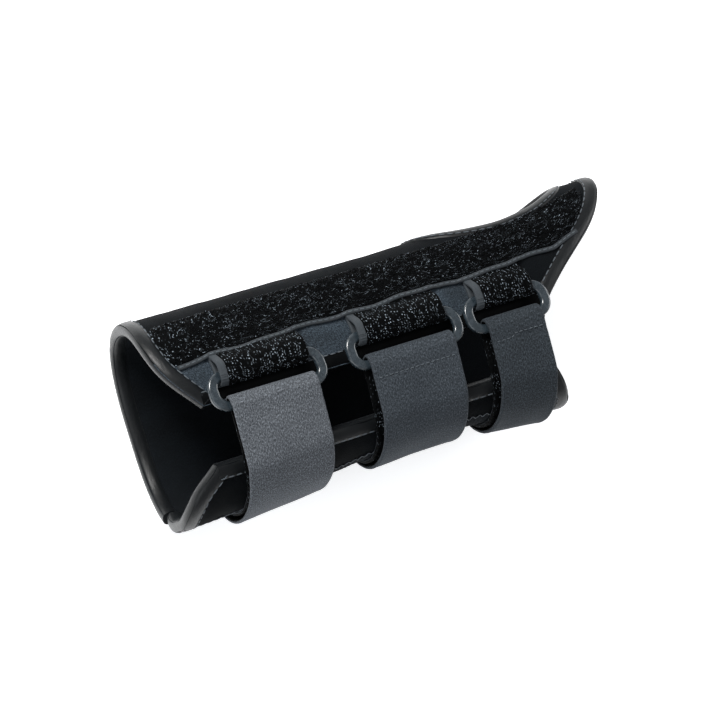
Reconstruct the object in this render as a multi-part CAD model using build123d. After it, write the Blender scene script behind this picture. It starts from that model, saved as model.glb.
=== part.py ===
"""Wrist splint for a right hand, closed as it is worn.

+X points to the fingers, +Y to the thumb side and +Z away from the palm.
The splint lies on the flat sleeve of its palm stay, with the straps on top.
"""
from build123d import *
import math
import os

# ---------------------------------------------------------------- driving dimensions, mm
X_PROXIMAL = -103.0         # forearm end
X_DISTAL = 103.0            # web between thumb and fingers
X_WRIST = 5.0               # narrowest place

# Outer half width, half depth and sideways shift: forearm end, wrist, hand end
HALF_WIDTH = (39.8, 37.0, 43.5)
HALF_DEPTH = (31.0, 25.5, 24.0)
SHIFT_Y = (0.25, 3.0, 1.8)
SQUARENESS = 2.3            # exponent of the superellipse of each section

# Layers of the body wall, as distances outwards from the panels' outer face
PANEL = (-1.9, 0.0)
STAY_LAYER = (-2.9, -2.0)
LINING = (-4.0, -3.0)
BINDING = (-4.3, 0.55)
FIELD = (0.3, 1.6)
FIELD_TAPE = (0.3, 1.9)
FIELD_Y = (18.0, 35.0)
FIELD_TAPE_WIDTH = 2.5
BINDING_WIDTH = 5.0
END_BINDING = 5.5           # width of the end bindings along x
SEAM_GAP = 0.08             # between sewn neighbours

SEAM_Z = 18.0               # palm panel below, side panels above
GUSSET_TOP_Z = 40.0         # elastic gusset below, ulnar flap above
ULNAR_EDGE_Y = -21.0        # edge of the ulnar flap; the radial flap ends at y = 0

# Thumb opening, seen from the thumb side
THUMB_X = 57.0
THUMB_DROP = 0.5
THUMB_HALF = (31.5, 14.5)
THUMB_BINDING_WIDTH = 4.0
THUMB_CUT_Y = (12.0, 72.0)  # reach of the cut across the thumb side

# Sleeve of the palm stay
SLEEVE_X = (-94.0, 66.0)
SLEEVE_WIDTH = 36.0
SLEEVE_DEPTH = 4.0
SLEEVE_SIDE_Z = 24.0        # how far up its sides the body hollows the sleeve
SLEEVE_CORNER = 6.0
SLEEVE_CHAMFER = 1.0
SLOT = (26.4, 2.1)          # width, height
SLOT_FLOOR = 0.95
STAY_SIZE = (152.0, 25.0, 1.6)
STAY_ROUND = 0.4
STAY_START = -90.0
DORSAL_STAY_X = (-72.0, 38.0)
RADIAL_STAY = [("y", 20.0), ("y", 32.0)]
ULNAR_STAY = [("angle", 146.0), ("angle", 160.0)]

# Straps: first and last x of each
STRAP_SPANS = ((-78.0, -42.0), (-20.0, 16.0), (30.3, 54.3))
STRAP_THICK = 1.5
BAR_Y_UPPER = 9.0
BAR_Y_LOWER = -2.4
BAR_RISE_UPPER = 3.9        # above the top of the body
BAR_RISE_LOWER = 5.1
BAR_WIDTH = 3.5
RING_THICK = 2.4
RING_SIDE = 4.1
RING_SPARE = 4.6            # clear width beside the strap, in all
RING_CORNERS = (6.6, 3.0)   # outside and inside
RING_ROUND = 1.0
FOLD_RADIUS = 2.4
TAB_HOLE = 2.5
TAB_RADIUS = 3.8
TAB_ROOT_Y = 17.8
TAB_ROOT_LIFT = 0.8
RUN_CLEAR = 0.3             # between surfaces that move past each other
LAP_ANGLE = 80.0            # where the pull run starts over the lower bar
ANCHOR_LIFT = 0.3
ANCHOR_BOW = 0.75           # extra lift of the sewn run over the opening binding
PATCH = (2.1, 2.9)         # hook patch, distance from the body
PATCH_ANGLES = (200.0, 228.0)
PULL_LIFT = 2.95            # inner face of the pull run beyond the side of the hand
PULL_BOW = 6.0              # extra lift of the pull run near the ring
TAIL_ANGLE = 231.0
ANCHOR_ANGLE = 235.0

SECTION_POINTS = 13
SETTLE_ROUNDS = 6           # rounds that bring a section's point onto its plane


# ---------------------------------------------------------------- the body's surface
def ease(t):
    """0 to 1 with level ends."""
    t = min(max(t, 0.0), 1.0)
    return t * t * (3 - 2 * t)


def along(values, x):
    """Value at x of a dimension given at the forearm end, the wrist and the hand end."""
    forearm, wrist, hand = values
    if x < X_WRIST:
        return wrist + (forearm - wrist) * ease((X_WRIST - x) / (X_WRIST - X_PROXIMAL))
    return wrist + (hand - wrist) * ease((x - X_WRIST) / (X_DISTAL - X_WRIST))


def centre_z(x):
    return SLEEVE_DEPTH + along(HALF_DEPTH, x)


def skin(x, degrees, lift=0.0):
    """Point of the body's outer surface: 0 thumb side, 90 top, 180 little finger side."""
    cosine = math.cos(math.radians(degrees))
    sine = math.sin(math.radians(degrees))
    power = 2 / SQUARENESS
    y = (along(HALF_WIDTH, x) + lift) * math.copysign(abs(cosine) ** power, cosine)
    z = (along(HALF_DEPTH, x) + lift) * math.copysign(abs(sine) ** power, sine)
    return Vector(x, along(SHIFT_Y, x) + y, centre_z(x) + z)


def skin_z(x, y, lift=0.0):
    """Height of the upper surface at x and y."""
    part = abs(y - along(SHIFT_Y, x)) / (along(HALF_WIDTH, x) + lift)
    return centre_z(x) + (along(HALF_DEPTH, x) + lift) * (1 - part**SQUARENESS) ** (1 / SQUARENESS)


def angle_at_y(x, y, lift):
    """Angle of the upper surface where it reaches y."""
    share = (y - along(SHIFT_Y, x)) / (along(HALF_WIDTH, x) + lift)
    share = min(max(share, -1.0), 1.0)
    return math.degrees(math.acos(math.copysign(abs(share) ** (SQUARENESS / 2), share)))


def angle_at_z(x, z, lift, ulnar):
    """Angle of the thumb side, or of the little finger side, where it reaches z."""
    share = (z - centre_z(x)) / (along(HALF_DEPTH, x) + lift)
    share = min(max(share, -1.0), 1.0)
    angle = math.degrees(math.asin(math.copysign(abs(share) ** (SQUARENESS / 2), share)))
    return 180 - angle if ulnar else angle


def on_line(ends, y):
    """x on a plan line given by two (x, y) points."""
    (x_a, y_a), (x_b, y_b) = ends
    return x_a + (x_b - x_a) * (y - y_a) / (y_b - y_a)


def edge_angle(border, x, lift):
    """Angle of a border: ("angle", value), ("y", value), ("thumb_z", value) or ("ulnar_z", value)."""
    kind, value = border
    if kind == "angle":
        return value
    if kind == "y":
        return angle_at_y(x, value, lift)
    return angle_at_z(x, value, lift, kind == "ulnar_z")


def section(ends, borders, lifts):
    """Closed section of a panel, in the upright plane over a plan line."""
    rows = []
    for lift in lifts:
        row = []
        for k in range(SECTION_POINTS):
            share = k / (SECTION_POINTS - 1)
            x = (ends[0][0] + ends[1][0]) / 2
            for _ in range(SETTLE_ROUNDS):
                start = edge_angle(borders[0], x, lift)
                finish = edge_angle(borders[1], x, lift)
                if borders[1][0] == "thumb_z" and borders[0][0] == "ulnar_z":
                    finish += 360
                point = skin(x, start + (finish - start) * share, lift)
                x = on_line(ends, point.Y)
            row.append(Vector(x, point.Y, point.Z))
        rows.append(row)
    under, over = rows
    return Face(Wire([
        Edge.make_spline(under),
        Edge.make_line(under[-1], over[-1]),
        Edge.make_spline(list(reversed(over))),
        Edge.make_line(over[0], under[0]),
    ]))


def panel(first, last, borders, lifts, stations=13):
    """Curved fabric panel between two plan lines and two borders."""
    faces = []
    for i in range(stations):
        share = i / (stations - 1)
        ends = [
            (a[0] + (b[0] - a[0]) * share, a[1] + (b[1] - a[1]) * share)
            for a, b in zip(first, last)
        ]
        faces.append(section(ends, borders, lifts))
    return Solid(loft(faces).wrapped)


def main_solid(shape):
    """The one solid of a cut, without crumbs."""
    return max(shape.solids(), key=lambda s: s.volume)


def shifted(ends, distance):
    """A plan line moved along x."""
    return [(x + distance, y) for x, y in ends]


def side_ellipse(grow):
    """Solid that cuts the thumb opening, grown by a width, from the thumb side inwards."""
    middle = (THUMB_X, THUMB_CUT_Y[0], centre_z(THUMB_X) - THUMB_DROP)
    plane = Plane(origin=middle, x_dir=(1, 0, 0), z_dir=(0, -1, 0))
    shape = plane * Ellipse(THUMB_HALF[0] + grow, THUMB_HALF[1] + grow)
    return extrude(shape, THUMB_CUT_Y[1] - THUMB_CUT_Y[0], dir=(0, 1, 0)).solid()


# ---------------------------------------------------------------- fabric panels
parts = {}

# Plan lines of the ends of the panels, each through two (x, y) points
radial_start = [(-84.0, 0.0), (X_PROXIMAL, 40.0)]
radial_end = [(61.0, 0.0), (X_DISTAL, 45.0)]
ulnar_start = [(-85.0, ULNAR_EDGE_Y), (-101.0, -40.0)]
ulnar_end = [(57.0, ULNAR_EDGE_Y), (64.0, -40.0)]
palm_start = [(-101.0, -40.0), (X_PROXIMAL, 40.0)]
palm_end = [(64.0, -40.0), (X_DISTAL, 45.0)]

thumb_cut = side_ellipse(THUMB_BINDING_WIDTH)

radial_first = shifted(radial_start, END_BINDING)
radial_last = shifted(radial_end, -END_BINDING)
ulnar_first = shifted(ulnar_start, END_BINDING)
ulnar_last = shifted(ulnar_end, -END_BINDING)
palm_first = shifted(palm_start, END_BINDING)
palm_last = shifted(palm_end, -END_BINDING)

radial_borders = [("y", BINDING_WIDTH), ("thumb_z", SEAM_Z)]
ulnar_borders = [("y", ULNAR_EDGE_Y - BINDING_WIDTH), ("ulnar_z", GUSSET_TOP_Z)]
gusset_borders = [("ulnar_z", GUSSET_TOP_Z - SEAM_GAP), ("ulnar_z", SEAM_Z)]
palm_borders = [("ulnar_z", SEAM_Z - SEAM_GAP), ("thumb_z", SEAM_Z - SEAM_GAP)]

parts["radial_flap"] = main_solid(panel(radial_first, radial_last, radial_borders, PANEL) - thumb_cut)
parts["ulnar_flap"] = panel(ulnar_first, ulnar_last, ulnar_borders, PANEL)
parts["ulnar_gusset"] = panel(ulnar_first, ulnar_last, gusset_borders, PANEL)
parts["palmar_panel"] = main_solid(panel(palm_first, palm_last, palm_borders, PANEL) - thumb_cut)

ulnar_whole = [ulnar_borders[0], ("ulnar_z", SEAM_Z)]
parts["radial_lining"] = main_solid(panel(radial_first, radial_last, radial_borders, LINING) - thumb_cut)
parts["ulnar_lining"] = panel(ulnar_first, ulnar_last, ulnar_whole, LINING)
parts["palmar_lining"] = main_solid(panel(palm_first, palm_last, palm_borders, LINING) - thumb_cut)

# Sewn-in spring stays, between panel and lining
stay_first, stay_last = [[(x, -40.0), (x, 40.0)] for x in DORSAL_STAY_X]
parts["dorsal_stay_radial"] = panel(stay_first, stay_last, RADIAL_STAY, STAY_LAYER)
parts["dorsal_stay_ulnar"] = panel(stay_first, stay_last, ULNAR_STAY, STAY_LAYER)

# ---------------------------------------------------------------- edge bindings
tape = END_BINDING - SEAM_GAP
radial_rim = [("y", 0.0), ("thumb_z", SEAM_Z)]
ulnar_rim = [("y", ULNAR_EDGE_Y), ("ulnar_z", SEAM_Z)]
parts["radial_proximal_binding"] = panel(radial_start, shifted(radial_start, tape), radial_rim, BINDING, 3)
web = panel(shifted(radial_end, -tape), radial_end, radial_rim, BINDING, 3)
parts["web_binding"] = main_solid(web - thumb_cut)
parts["ulnar_proximal_binding"] = panel(ulnar_start, shifted(ulnar_start, tape), ulnar_rim, BINDING, 3)
parts["ulnar_distal_binding"] = panel(shifted(ulnar_end, -tape), ulnar_end, ulnar_rim, BINDING, 3)
parts["palmar_proximal_binding"] = panel(palm_start, shifted(palm_start, tape), palm_borders, BINDING, 3)
palm_tape = panel(shifted(palm_end, -tape), palm_end, palm_borders, BINDING, 3)
parts["palmar_distal_binding"] = main_solid(palm_tape - thumb_cut)

radial_edge = [("y", 0.0), ("y", BINDING_WIDTH - SEAM_GAP)]
parts["radial_opening_binding"] = panel(radial_first, radial_last, radial_edge, BINDING)
ulnar_edge = [("y", ULNAR_EDGE_Y), ("y", ULNAR_EDGE_Y - BINDING_WIDTH + SEAM_GAP)]
parts["ulnar_opening_binding"] = panel(ulnar_first, ulnar_last, ulnar_edge, BINDING)

# The thumb binding rings the opening through the side seam
reach = THUMB_HALF[0] + 2 * THUMB_BINDING_WIDTH
thumb_first, thumb_last = [[(x, -40.0), (x, 40.0)] for x in (THUMB_X - reach, THUMB_X + reach)]
around_thumb = panel(thumb_first, thumb_last, [("y", 15.0), ("thumb_z", 8.0)], BINDING)
thumb_ring = around_thumb & side_ellipse(THUMB_BINDING_WIDTH - SEAM_GAP)
parts["thumb_binding"] = main_solid(main_solid(thumb_ring) - side_ellipse(0.0))

# ---------------------------------------------------------------- pile field of the radial flap
field_first = [(-87.0, FIELD_Y[0]), (-96.5, 40.0)]
field_last = [(73.0, FIELD_Y[0]), (91.5, 40.0)]
TAPE_BORDERS = [("y", FIELD_Y[0]), ("y", FIELD_Y[0] + FIELD_TAPE_WIDTH)]
FIELD_BORDERS = [("y", FIELD_Y[0] + FIELD_TAPE_WIDTH + SEAM_GAP), ("y", FIELD_Y[1])]
field = panel(field_first, field_last, FIELD_BORDERS, FIELD)
parts["loop_field"] = main_solid(field - side_ellipse(THUMB_BINDING_WIDTH + SEAM_GAP))
parts["field_edge_tape"] = panel(field_first, field_last, TAPE_BORDERS, FIELD_TAPE)


# ---------------------------------------------------------------- palm stay and its sleeve
def palm_sleeve():
    length = SLEEVE_X[1] - SLEEVE_X[0]
    height = 3 * SLEEVE_DEPTH
    block = Pos((SLEEVE_X[0] + SLEEVE_X[1]) / 2, 0, height / 2) * Box(length, SLEEVE_WIDTH, height)
    block = fillet(block.edges().filter_by(Axis.Z), SLEEVE_CORNER)
    block = chamfer(block.faces().sort_by(Axis.Z)[0].edges(), SLEEVE_CHAMFER)
    mouth = 10.0                # how far the slot's cutter stands out of the mouth
    slot_length = STAY_START + STAY_SIZE[0] + 1 - SLEEVE_X[0] + mouth
    slot_x = SLEEVE_X[0] - mouth + slot_length / 2
    slot = Pos(slot_x, 0, SLOT_FLOOR + SLOT[1] / 2) * Box(slot_length, *SLOT)
    hollow_borders = [("ulnar_z", SLEEVE_SIDE_Z), ("thumb_z", SLEEVE_SIDE_Z)]
    ends = [[(x, -40.0), (x, 40.0)] for x in (SLEEVE_X[0] - 5, SLEEVE_X[1] + 5)]
    hollow = panel(ends[0], ends[1], hollow_borders, (-3 * SLEEVE_DEPTH, SEAM_GAP))
    return main_solid(block - hollow - slot)


def palm_stay():
    length, width, thick = STAY_SIZE
    lift = SLOT_FLOOR + (SLOT[1] - thick) / 2
    plane = Plane(origin=(STAY_START + length / 2, 0, lift))
    outline = plane * RectangleRounded(length, width, width / 2 - 1)
    blade = extrude(outline, thick, dir=(0, 0, 1)).solid()
    return fillet(blade.faces().filter_by(Axis.Z).edges(), STAY_ROUND)


parts["palmar_stay_pocket"] = palm_sleeve()
parts["palmar_stay"] = main_solid(palm_stay())


# ---------------------------------------------------------------- rings, tabs and straps
def bar_z(span, x, rise):
    """Height at x of a ring bar that follows the top of the body along a strap."""
    start, end = [skin(s, 90).Z for s in span]
    return start + (end - start) * (x - span[0]) / (span[1] - span[0]) + rise


def across(span, profile, stations=5):
    """Solid through the profiles from one edge of a strap to the other."""
    step = (span[1] - span[0]) / (stations - 1)
    return Solid(loft([profile(span[0] + step * i) for i in range(stations)]).wrapped)


def around(x, centre, radius, degrees):
    """Point at an angle on a circle round a bar, 0 towards the thumb side, 90 up."""
    angle = math.radians(degrees)
    return Vector(x, centre[0] + radius * math.cos(angle), centre[1] + radius * math.sin(angle))


def arc(x, centre, radius, start, end):
    """Arc round a bar between two angles."""
    middle = (start + end) / 2
    return Edge.make_three_point_arc(*[around(x, centre, radius, a) for a in (start, middle, end)])


def anchor_lift(degrees):
    """Distance of the sewn run's inner face from the body at an angle."""
    return ANCHOR_LIFT + ANCHOR_BOW * ease((160 - degrees) / 16)


def pull_lift(degrees):
    """Distance of the pull run's inner face from the body at an angle."""
    return PULL_LIFT + PULL_BOW * (1 - ease((degrees - 100) / 70))


def ring(span):
    middle = (span[0] + span[1]) / 2
    upper = Vector(middle, BAR_Y_UPPER, bar_z(span, middle, BAR_RISE_UPPER))
    lower = Vector(middle, BAR_Y_LOWER, bar_z(span, middle, BAR_RISE_LOWER))
    slope = bar_z(span, span[1], 0) - bar_z(span, span[0], 0)
    along_bar = Vector(span[1] - span[0], 0, slope).normalized()
    normal = along_bar.cross(upper - lower).normalized()
    plane = Plane(origin=(upper + lower) / 2, x_dir=along_bar, z_dir=normal)
    clear_width = span[1] - span[0] + RING_SPARE
    clear_height = (upper - lower).length - BAR_WIDTH
    outer = RectangleRounded(clear_width + 2 * RING_SIDE, clear_height + 2 * BAR_WIDTH, RING_CORNERS[0])
    hole = RectangleRounded(clear_width, clear_height, RING_CORNERS[1])
    body = extrude(plane * (outer - hole), RING_THICK / 2, both=True).solid()
    return main_solid(fillet(body.edges(), RING_ROUND))


def ring_tab(span):
    def outline(x):
        centre = (BAR_Y_UPPER, bar_z(span, x, BAR_RISE_UPPER))
        low = Vector(x, TAB_ROOT_Y, skin_z(x, TAB_ROOT_Y) + TAB_ROOT_LIFT)
        high = low + Vector(0, 0, 2 * STRAP_THICK)
        bend = arc(x, centre, TAB_RADIUS, 270, 90)
        return Face(Wire([
            Edge.make_line(low, around(x, centre, TAB_RADIUS, 270)),
            bend,
            Edge.make_line(around(x, centre, TAB_RADIUS, 90), high),
            Edge.make_line(high, low),
        ]))

    def hole(x):
        centre = (BAR_Y_UPPER, bar_z(span, x, BAR_RISE_UPPER))
        plane = Plane(origin=(x, *centre), x_dir=(0, 1, 0), z_dir=(1, 0, 0))
        return Face(Wire([Edge.make_circle(TAB_HOLE, plane)]))

    ends = (span[0] - 1, span[1] + 1)
    return main_solid(across(span, outline) - across(ends, hole, 2))


def anchor_run(span):
    """Sewn run: up the little finger side, under the ring's lower bar and round it."""
    def outline(x):
        centre = (BAR_Y_LOWER, bar_z(span, x, BAR_RISE_LOWER))
        angles = (ANCHOR_ANGLE, 218, 200, 180, 160, 140, 124, 112)
        under = [skin(x, a, anchor_lift(a)) for a in angles]
        over = [skin(x, a, anchor_lift(a) + STRAP_THICK) for a in angles]
        under.append(around(x, centre, FOLD_RADIUS + STRAP_THICK, -90))
        over.append(around(x, centre, FOLD_RADIUS, -90))
        return Face(Wire([
            Edge.make_spline(under),
            arc(x, centre, FOLD_RADIUS + STRAP_THICK, -90, 90),
            Edge.make_line(
                around(x, centre, FOLD_RADIUS + STRAP_THICK, 90),
                around(x, centre, FOLD_RADIUS, 90),
            ),
            arc(x, centre, FOLD_RADIUS, 90, -90),
            Edge.make_spline(list(reversed(over))),
            Edge.make_line(over[0], under[0]),
        ]))

    return main_solid(across(span, outline))


def pull_run(span):
    """Run that folds back over the ring's lower bar and closes round the little finger side."""
    radius = FOLD_RADIUS + STRAP_THICK + RUN_CLEAR

    def outline(x):
        centre = (BAR_Y_LOWER, bar_z(span, x, BAR_RISE_LOWER))
        angles = (114, 126, 140, 155, 170, 185, 200, 215, TAIL_ANGLE)
        under = [around(x, centre, radius, 90)]
        over = [around(x, centre, radius + STRAP_THICK, 90)]
        under += [skin(x, a, pull_lift(a)) for a in angles]
        over += [skin(x, a, pull_lift(a) + STRAP_THICK) for a in angles]
        return Face(Wire([
            Edge.make_spline(under),
            Edge.make_line(under[-1], over[-1]),
            Edge.make_spline(list(reversed(over))),
            arc(x, centre, radius + STRAP_THICK, 90, LAP_ANGLE),
            Edge.make_line(
                around(x, centre, radius + STRAP_THICK, LAP_ANGLE),
                around(x, centre, radius, LAP_ANGLE),
            ),
            arc(x, centre, radius, LAP_ANGLE, 90),
        ]))

    return main_solid(across(span, outline))


def hook_patch(span):
    """Hook fastener under the end of the pull run."""
    def outline(x):
        step = (PATCH_ANGLES[1] - PATCH_ANGLES[0]) / 3
        angles = [PATCH_ANGLES[0] + step * i for i in range(4)]
        under = [skin(x, a, PATCH[0]) for a in angles]
        over = [skin(x, a, PATCH[1]) for a in reversed(angles)]
        return Face(Wire([
            Edge.make_spline(under),
            Edge.make_line(under[-1], over[0]),
            Edge.make_spline(over),
            Edge.make_line(over[-1], under[0]),
        ]))

    inset = 2.0
    return main_solid(across((span[0] + inset, span[1] - inset), outline))


for number, strap_span in enumerate(STRAP_SPANS, start=1):
    parts[f"ring_{number}"] = ring(strap_span)
    parts[f"ring_tab_{number}"] = ring_tab(strap_span)
    parts[f"strap_anchor_run_{number}"] = anchor_run(strap_span)
    parts[f"strap_pull_run_{number}"] = pull_run(strap_span)
    parts[f"hook_patch_{number}"] = hook_patch(strap_span)

# ---------------------------------------------------------------- centre over the origin and write
box = Compound(children=[Compound(shape.wrapped) for shape in parts.values()]).bounding_box()
to_origin = Vector(-(box.min.X + box.max.X) / 2, -(box.min.Y + box.max.Y) / 2, -box.min.Z)

os.makedirs("parts", exist_ok=True)
for name, shape in parts.items():
    export_step(shape.moved(Location(to_origin)), f"parts/{name}.step")
print("size", box.size, "moved by", to_origin)
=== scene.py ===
"""Looks of the wrist splint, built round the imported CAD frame.

Sections are worked out in millimetres in the splint's own lengths, the same formulas as the CAD
model's, and moved onto the frame when a mesh is made.
"""
import math

import bmesh
import bpy
import numpy as np
from mathutils import Matrix, Vector


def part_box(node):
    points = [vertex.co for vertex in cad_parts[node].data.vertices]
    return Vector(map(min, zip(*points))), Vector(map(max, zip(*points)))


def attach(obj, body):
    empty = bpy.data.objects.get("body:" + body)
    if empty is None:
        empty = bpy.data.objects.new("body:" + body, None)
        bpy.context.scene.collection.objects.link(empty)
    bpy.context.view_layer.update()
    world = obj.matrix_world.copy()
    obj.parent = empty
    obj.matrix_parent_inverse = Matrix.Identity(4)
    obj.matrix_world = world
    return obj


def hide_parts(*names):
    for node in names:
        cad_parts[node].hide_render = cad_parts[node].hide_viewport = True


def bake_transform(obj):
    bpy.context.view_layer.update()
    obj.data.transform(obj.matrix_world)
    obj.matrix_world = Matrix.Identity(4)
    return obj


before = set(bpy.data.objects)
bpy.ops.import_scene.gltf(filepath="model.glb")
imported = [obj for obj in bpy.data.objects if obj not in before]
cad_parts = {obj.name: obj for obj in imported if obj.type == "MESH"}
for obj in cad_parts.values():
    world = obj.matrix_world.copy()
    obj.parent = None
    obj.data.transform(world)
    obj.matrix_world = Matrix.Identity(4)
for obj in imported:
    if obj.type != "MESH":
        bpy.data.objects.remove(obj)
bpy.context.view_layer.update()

MM = 0.001
ROOT = "splint_body"
rng = np.random.default_rng(7)

# ---------------------------------------------------------------- dimensions shared with CAD, mm
# Each triple is for the forearm end, the wrist and the hand end
X_PROXIMAL, X_WRIST, X_DISTAL = -103.0, 5.0, 103.0
HALF_WIDTH = (39.8, 37.0, 43.5)
HALF_DEPTH = (31.0, 25.5, 24.0)
SHIFT_Y = (0.25, 3.0, 1.8)
SQUARENESS = 2.3
SLEEVE_DEPTH = 4.0
SLEEVE_X = (-94.0, 66.0)
SLEEVE_HALF = 18.0
SEAM_Z = 18.0
GUSSET_TOP_Z = 40.0
ULNAR_EDGE_Y = -21.0
THUMB_X, THUMB_DROP, THUMB_HALF = 57.0, 0.5, (31.5, 14.5)
STRAP_SPANS = ((-78.0, -42.0), (-20.0, 16.0), (30.3, 54.3))
STRAP_THICK = 1.5
BAR_Y_UPPER, BAR_Y_LOWER = 9.0, -2.4
BAR_RISE_UPPER, BAR_RISE_LOWER = 3.9, 5.1
FOLD_RADIUS = 2.4
PULL_LIFT, PULL_BOW = 2.95, 6.0
ANCHOR_LIFT, ANCHOR_BOW = 0.3, 0.75
TAIL_ANGLE, ANCHOR_ANGLE = 231.0, 235.0
TAB_ROOT_Y = 17.8
WALL_OUT, PANEL_IN, LINING_OUT, LINING_IN = 0.0, -1.9, -3.0, -4.0

# The palm stay's middle is at x = -14, y = 0 in these lengths
stay_low, stay_high = (Vector(corner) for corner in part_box("palmar_stay"))
TO_FRAME = np.array([(stay_low.x + stay_high.x) / 2 + 0.014, (stay_low.y + stay_high.y) / 2, 0.0])


# ---------------------------------------------------------------- the body's surface
def unit(v):
    return v / np.maximum(np.linalg.norm(v, axis=-1, keepdims=True), 1e-9)


def ease(t):
    """Smooth step from 0 to 1."""
    t = np.clip(t, 0.0, 1.0)
    return t * t * (3 - 2 * t)


def along(values, x):
    """A dimension of the body at x, eased between its three stations."""
    forearm, wrist, hand = values
    back = wrist + (forearm - wrist) * ease((X_WRIST - x) / (X_WRIST - X_PROXIMAL))
    front = wrist + (hand - wrist) * ease((x - X_WRIST) / (X_DISTAL - X_WRIST))
    return np.where(x < X_WRIST, back, front)


def centre_z(x):
    return SLEEVE_DEPTH + along(HALF_DEPTH, x)


def skin(x, degrees, lift=0.0):
    """Surface points: 0 thumb side, 90 top, 180 little finger side, 270 palm."""
    x, degrees, lift = np.broadcast_arrays(np.asarray(x, float), np.asarray(degrees, float), lift)
    cosine, sine = np.cos(np.radians(degrees)), np.sin(np.radians(degrees))
    power = 2 / SQUARENESS
    y = along(SHIFT_Y, x) + (along(HALF_WIDTH, x) + lift) * np.sign(cosine) * np.abs(cosine) ** power
    z = centre_z(x) + (along(HALF_DEPTH, x) + lift) * np.sign(sine) * np.abs(sine) ** power
    return np.stack([x, y, z], axis=-1)


def skin_normal(x, degrees):
    """Outward unit normals of the surface."""
    across = skin(x, np.asarray(degrees) + 0.5) - skin(x, np.asarray(degrees) - 0.5)
    length = skin(np.asarray(x) + 0.5, degrees) - skin(np.asarray(x) - 0.5, degrees)
    return unit(np.cross(across, length))


def y_angle(x, y):
    """Angle of the point at x and y on top of the body."""
    share = np.clip((y - along(SHIFT_Y, x)) / along(HALF_WIDTH, x), -1, 1)
    return np.degrees(np.arccos(np.sign(share) * np.abs(share) ** (SQUARENESS / 2)))


def angle_y(y):
    """Border at a y on top of the body."""
    return lambda x: y_angle(x, y)


def angle_z(z, side):
    """Border at a height on the thumb side or the little finger side."""
    def at(x):
        share = np.clip((z - centre_z(x)) / along(HALF_DEPTH, x), -1, 1)
        angle = np.degrees(np.arcsin(np.sign(share) * np.abs(share) ** (SQUARENESS / 2)))
        return {"thumb": angle, "palm_thumb": angle + 360, "ulnar": 180 - angle}[side]
    return at


def bend_line(*points):
    """x along a smooth line through (x, y) points, as a function of y."""
    xs = np.array([p[0] for p in points], float)
    ys = np.array([p[1] for p in points], float)
    fine = np.linspace(ys[0], ys[-1], 200)
    rough = np.interp(fine, ys, xs)
    width = 31                          # samples in the moving average that rounds the corners
    padded = np.concatenate([
        rough[0] - (rough[1] - rough[0]) * np.arange(width // 2, 0, -1),
        rough,
        rough[-1] + (rough[-1] - rough[-2]) * np.arange(1, width // 2 + 1),
    ])
    soft = np.convolve(padded, np.ones(width) / width, mode="valid")
    return lambda y: np.interp(y, fine, soft)


SETTLING_STEPS = 14                     # rounds in which x and angle settle on each other


def shares(rows, columns):
    """Shares from 0 to 1 along and across a grid."""
    s = np.linspace(0, 1, rows)[:, None] * np.ones((1, columns))
    t = np.linspace(0, 1, columns)[None, :] * np.ones((rows, 1))
    return s, t


def region(count_x, count_t, first, last, border_a, border_b):
    """x and angle on a grid between two plan lines and two borders."""
    s, t = shares(count_x, count_t)
    x = np.zeros_like(s)
    for _ in range(SETTLING_STEPS):
        start, finish = border_a(x), border_b(x)
        angle = start + (finish - start) * t
        y = skin(x, angle)[..., 1]
        x = first(y) * (1 - s) + last(y) * s
    return x, angle


def waves(x, y, length, seed):
    """Smooth uneven field from -1 to 1 with bumps about length across."""
    draw = np.random.default_rng(seed)
    total = np.zeros_like(np.asarray(x, float))
    for _ in range(9):
        heading = draw.uniform(0, 2 * math.pi)
        pitch = 2 * math.pi / (length * draw.uniform(0.7, 1.6))
        phase = draw.uniform(0, 2 * math.pi)
        total = total + np.sin((x * math.cos(heading) + y * math.sin(heading)) * pitch + phase)
    return total / 4.0


def arc_lengths(points, axis):
    """Distance along a grid's rows or columns."""
    step = np.linalg.norm(np.diff(points, axis=axis), axis=-1)
    zero = np.zeros_like(np.take(step, [0], axis=axis))
    return np.concatenate([zero, np.cumsum(step, axis=axis)], axis=axis)


# ---------------------------------------------------------------- mesh helpers
def to_frame(points):
    """Millimetres in the splint's own lengths to metres in the frame."""
    return np.asarray(points).reshape(-1, 3) * MM + TO_FRAME


def make_piece(name, vertices, faces, uvs, materials, face_slots=None, crease=50):
    """Mesh object from millimetre points; uvs are millimetres on the cloth."""
    mesh = bpy.data.meshes.new(name)
    mesh.from_pydata(to_frame(vertices).tolist(), [], faces)
    layer = mesh.uv_layers.new(name="weave")
    corners = np.empty(len(mesh.loops), dtype=np.int32)
    mesh.loops.foreach_get("vertex_index", corners)
    layer.data.foreach_set("uv", np.asarray(uvs, float).reshape(-1, 2)[corners].ravel())
    for material in materials:
        mesh.materials.append(material)
    if face_slots is not None:
        mesh.polygons.foreach_set("material_index", np.asarray(face_slots, dtype=np.int32))
    mesh.polygons.foreach_set("use_smooth", np.ones(len(mesh.polygons), dtype=bool))
    mesh.validate()
    mesh.update()
    mesh.set_sharp_from_angle(angle=math.radians(crease))
    piece = bpy.data.objects.new(name, mesh)
    bpy.context.scene.collection.objects.link(piece)
    return piece


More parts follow.
